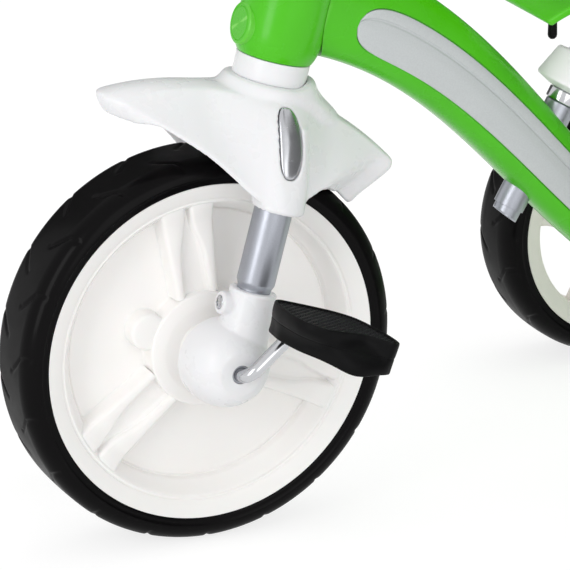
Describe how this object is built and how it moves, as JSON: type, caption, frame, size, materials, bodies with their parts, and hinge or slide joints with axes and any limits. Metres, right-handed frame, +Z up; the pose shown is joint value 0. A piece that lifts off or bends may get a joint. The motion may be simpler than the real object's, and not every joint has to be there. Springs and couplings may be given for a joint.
{
  "type": "toddler push along trike",
  "caption": "Toddler trike with a pedal-driven front wheel under a winged mudguard, curved beam, free rear wheels, sliding bucket seat and telescopic push bar.",
  "frame": {"origin": "on the floor, under the middle of the whole trike's box", "axes": "+X is the way the trike rolls forward, +Y is the rider's left, +Z is up"},
  "size_m": [0.7606, 0.478, 0.9587],
  "materials": {
    "green_beam": "smooth bright green gloss",
    "green_moulding": "bright green moulded plastic",
    "white_moulding": "white moulded plastic, soft gloss",
    "grey_panel": "silver-grey moulded plastic",
    "silver_tube": "silver lacquered steel tube",
    "bright_steel": "bright plated steel",
    "plain_steel": "plain zinc-plated steel",
    "black_plastic": "black textured plastic",
    "grey_bush": "grey slippery bearing plastic",
    "tread_foam": "black closed-cell foam tyre",
    "grip_rubber": "black soft rubber",
    "grip_foam": "black soft foam"
  },
  "bodies": {
    "frame": {"main_beam": "green_moulding", "head_tube": "green_moulding", "side_panel_left": "grey_panel", "side_panel_right": "grey_panel", "head_bush_lower": "black_plastic", "head_bush_upper": "black_plastic", "seat_tube": "silver_tube", "seat_clamp_ring": "bright_steel", "rear_axle_tube": "green_beam", "rear_axle": "plain_steel", "axle_plugs": "black_plastic", "axle_nuts": "plain_steel", "push_socket": "white_moulding", "push_tube_lower": "silver_tube", "push_lock_collar": "black_plastic"},
    "fork": {"fork_crown": "plain_steel", "steerer": "plain_steel", "mudguard": "white_moulding", "fork_collar": "white_moulding", "pillar_insert_left": "grey_panel", "pillar_insert_right": "grey_panel", "fork_tube_left": "silver_tube", "fork_tube_right": "silver_tube", "dropout_left": "white_moulding", "dropout_right": "white_moulding", "dropout_screws": "bright_steel", "crank_bush_left": "grey_bush", "crank_bush_right": "grey_bush", "stem": "white_moulding", "stem_cap": "grey_panel", "handlebar": "silver_tube", "grip_left": "grip_rubber", "grip_right": "grip_rubber"},
    "front_wheel": {"front_tyre": "tread_foam", "front_rim": "white_moulding", "crank": "bright_steel"},
    "left_pedal": {"pedal_left": "black_plastic"},
    "right_pedal": {"pedal_right": "black_plastic"},
    "rear_wheel_left": {"rear_tyre_left": "tread_foam", "rear_rim_left": "white_moulding", "rear_bush_left": "grey_bush", "hub_cap_left": "white_moulding"},
    "rear_wheel_right": {"rear_tyre_right": "tread_foam", "rear_rim_right": "white_moulding", "rear_bush_right": "grey_bush", "hub_cap_right": "white_moulding"},
    "seat": {"seat_post": "silver_tube", "seat_bracket": "white_moulding", "seat_shell": "green_moulding", "seat_screws": "bright_steel"},
    "seat_trigger": {"seat_lever": "black_plastic"},
    "push_bar": {"push_tube_upper": "silver_tube", "push_tee": "black_plastic", "push_cross_tube": "silver_tube", "push_grip_left": "grip_foam", "push_grip_right": "grip_foam"},
    "lock_button": {"push_lock_button": "green_moulding"}
  },
  "joints": [
    {"name": "steer", "type": "hinge", "parent": "frame", "child": "fork", "pos_m": [0.24468, 0, 0.12852], "axis": [-0.2554, 0, 0.9668], "range_deg": [-40, 40]},
    {"name": "front_wheel_spin", "type": "hinge", "parent": "fork", "child": "front_wheel", "pos_m": [0.25029, 0, 0.13], "axis": [0, 1, 0], "continuous": true},
    {"name": "pedal_left_spin", "type": "hinge", "parent": "front_wheel", "child": "left_pedal", "pos_m": [0.20816, 0.1205, 0.16535], "axis": [0, 1, 0], "continuous": true},
    {"name": "pedal_right_spin", "type": "hinge", "parent": "front_wheel", "child": "right_pedal", "pos_m": [0.29242, -0.1205, 0.09465], "axis": [0, 1, 0], "continuous": true},
    {"name": "rear_wheel_left_spin", "type": "hinge", "parent": "frame", "child": "rear_wheel_left", "pos_m": [-0.16571, 0.2007, 0.098], "axis": [0, 1, 0], "continuous": true},
    {"name": "rear_wheel_right_spin", "type": "hinge", "parent": "frame", "child": "rear_wheel_right", "pos_m": [-0.16571, -0.2007, 0.098], "axis": [0, 1, 0], "continuous": true},
    {"name": "seat_height", "type": "slide", "parent": "frame", "child": "seat", "axis": [-0.4924, 0, 0.8704], "range_m": [0, 0.05]},
    {"name": "seat_lever_pull", "type": "hinge", "parent": "seat", "child": "seat_trigger", "pos_m": [-0.01614, 0, 0.33], "axis": [0, -1, 0], "range_deg": [0, 25], "stiffness_Nm_per_rad": 0.4, "springref_deg": -11.46},
    {"name": "push_bar_length", "type": "slide", "parent": "frame", "child": "push_bar", "axis": [-0.2588, 0, 0.9659], "range_m": [0, 0.15]},
    {"name": "lock_button_press", "type": "slide", "parent": "frame", "child": "lock_button", "axis": [-0.9659, 0, -0.2588], "range_m": [0, 0.0035], "stiffness_N_per_m": 1200, "springref_m": -0.002}
  ]
}
